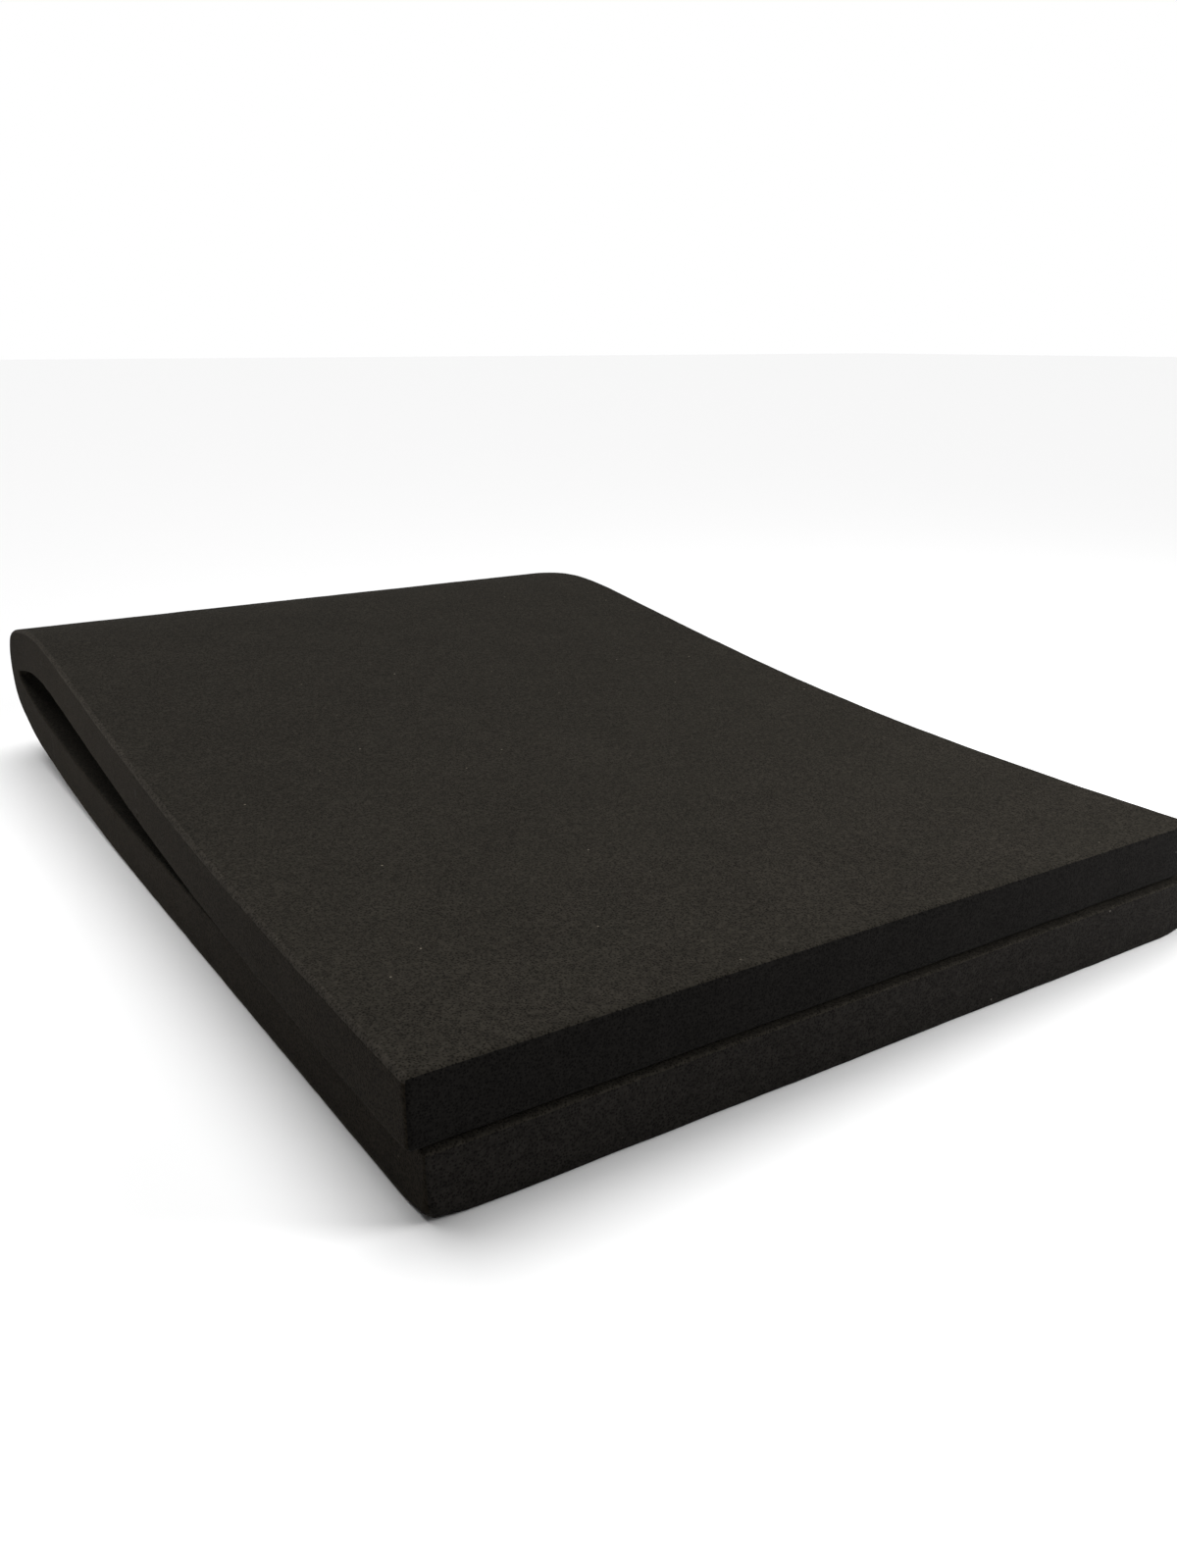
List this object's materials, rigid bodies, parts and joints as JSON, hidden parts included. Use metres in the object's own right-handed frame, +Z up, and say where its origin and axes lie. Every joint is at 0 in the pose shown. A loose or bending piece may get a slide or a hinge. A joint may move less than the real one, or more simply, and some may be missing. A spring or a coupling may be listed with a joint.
{
  "type": "folded foam sleeping mat",
  "caption": "Bare sheet of dark charcoal open-cell foam with square knife-cut edges, folded over once; it unfolds flat into a long thin floor mattress.",
  "frame": {"origin": "middle of the floor area that the folded sheet covers, at floor level", "axes": "+X across the sheet, -Y towards the two cut front ends, +Y towards the fold at the back, +Z up"},
  "size_m": [0.6076, 0.939, 0.1391],
  "materials": {
    "foam": "matte"
  },
  "bodies": {
    "lower_leaf": {"lower_leaf": "foam"},
    "lift_1": {"lift_1": "foam"},
    "lift_2": {"lift_2": "foam"},
    "lift_3": {"lift_3": "foam"},
    "rise_1": {"rise_1": "foam"},
    "rise_2": {"rise_2": "foam"},
    "fold_1": {"fold_1": "foam"},
    "fold_2": {"fold_2": "foam"},
    "fold_3": {"fold_3": "foam"},
    "fold_4": {"fold_4": "foam"},
    "fold_5": {"fold_5": "foam"},
    "fold_6": {"fold_6": "foam"},
    "cheek": {"cheek": "foam"},
    "crown_1": {"crown_1": "foam"},
    "crown_2": {"crown_2": "foam"},
    "crown_3": {"crown_3": "foam"},
    "ramp": {"ramp": "foam"},
    "ease_1": {"ease_1": "foam"},
    "ease_2": {"ease_2": "foam"},
    "ease_3": {"ease_3": "foam"},
    "upper_leaf": {"upper_leaf": "foam"}
  },
  "joints": [
    {"name": "bend_lift_1", "type": "hinge", "parent": "lower_leaf", "child": "lift_1", "pos_m": [0, 0.02272, 0], "axis": [-1, 0, 0], "range_deg": [0, 1.2]},
    {"name": "bend_lift_2", "type": "hinge", "parent": "lift_1", "child": "lift_2", "pos_m": [0, 0.13534, 0.00236], "axis": [-1, 0, 0], "range_deg": [0, 2.4]},
    {"name": "bend_lift_3", "type": "hinge", "parent": "lift_2", "child": "lift_3", "pos_m": [0, 0.24797, 0.00945], "axis": [-1, 0, 0], "range_deg": [0, 2.4]},
    {"name": "bend_rise_1", "type": "hinge", "parent": "lift_3", "child": "rise_1", "pos_m": [0, 0.36061, 0.02128], "axis": [-1, 0, 0], "range_deg": [0, 4.65]},
    {"name": "bend_rise_2", "type": "hinge", "parent": "rise_1", "child": "rise_2", "pos_m": [0, 0.40147, 0.02897], "axis": [-1, 0, 0], "range_deg": [0, 6.9]},
    {"name": "bend_fold_1", "type": "hinge", "parent": "rise_2", "child": "fold_1", "pos_m": [0, 0.44301, 0.04211], "axis": [-1, 0, 0], "range_deg": [0, 15.76]},
    {"name": "bend_fold_2", "type": "hinge", "parent": "fold_1", "child": "fold_2", "pos_m": [0, 0.4572, 0.05143], "axis": [-1, 0, 0], "range_deg": [0, 24.62]},
    {"name": "bend_fold_3", "type": "hinge", "parent": "fold_2", "child": "fold_3", "pos_m": [0, 0.46708, 0.0672], "axis": [-1, 0, 0], "range_deg": [0, 24.62]},
    {"name": "bend_fold_4", "type": "hinge", "parent": "fold_3", "child": "fold_4", "pos_m": [0, 0.4695, 0.08565], "axis": [-1, 0, 0], "range_deg": [0, 24.62]},
    {"name": "bend_fold_5", "type": "hinge", "parent": "fold_4", "child": "fold_5", "pos_m": [0, 0.46401, 0.10344], "axis": [-1, 0, 0], "range_deg": [0, 24.62]},
    {"name": "bend_fold_6", "type": "hinge", "parent": "fold_5", "child": "fold_6", "pos_m": [0, 0.45161, 0.11732], "axis": [-1, 0, 0], "range_deg": [0, 24.62]},
    {"name": "bend_cheek", "type": "hinge", "parent": "fold_6", "child": "cheek", "pos_m": [0, 0.43663, 0.12387], "axis": [-1, 0, 0], "range_deg": [0, 12.31]},
    {"name": "bend_crown_1", "type": "hinge", "parent": "cheek", "child": "crown_1", "pos_m": [0, 0.3996, 0.13127], "axis": [-1, 0, 0], "range_deg": [0, 3.07]},
    {"name": "bend_crown_2", "type": "hinge", "parent": "crown_1", "child": "crown_2", "pos_m": [0, 0.35673, 0.13747], "axis": [-1, 0, 0], "range_deg": [0, 6.13]},
    {"name": "bend_crown_3", "type": "hinge", "parent": "crown_2", "child": "crown_3", "pos_m": [0, 0.3129, 0.13908], "axis": [-1, 0, 0], "range_deg": [0, 6.13]},
    {"name": "bend_ramp", "type": "hinge", "parent": "crown_3", "child": "ramp", "pos_m": [0, 0.26969, 0.13603], "axis": [-1, 0, 0], "range_deg": [0, 3.07]},
    {"name": "bend_ease_1", "type": "hinge", "parent": "ramp", "child": "ease_1", "pos_m": [0, 0.06472, 0.06918], "axis": [1, 0, 0], "range_deg": [0, 1.18]},
    {"name": "bend_ease_2", "type": "hinge", "parent": "ease_1", "child": "ease_2", "pos_m": [0, -0.08346, 0.05382], "axis": [1, 0, 0], "range_deg": [0, 2.37]},
    {"name": "bend_ease_3", "type": "hinge", "parent": "ease_2", "child": "ease_3", "pos_m": [0, -0.23235, 0.04458], "axis": [1, 0, 0], "range_deg": [0, 2.37]},
    {"name": "bend_upper_leaf", "type": "hinge", "parent": "ease_3", "child": "upper_leaf", "pos_m": [0, -0.38129, 0.0415], "axis": [1, 0, 0], "range_deg": [0, 1.18]}
  ],
  "couplings": [
    {"joint": "bend_ease_1", "follows": "bend_crown_2", "ratio": 0.19296},
    {"joint": "bend_ease_2", "follows": "bend_crown_2", "ratio": 0.38592},
    {"joint": "bend_ease_3", "follows": "bend_crown_2", "ratio": 0.38592},
    {"joint": "bend_upper_leaf", "follows": "bend_crown_2", "ratio": 0.19296}
  ]
}
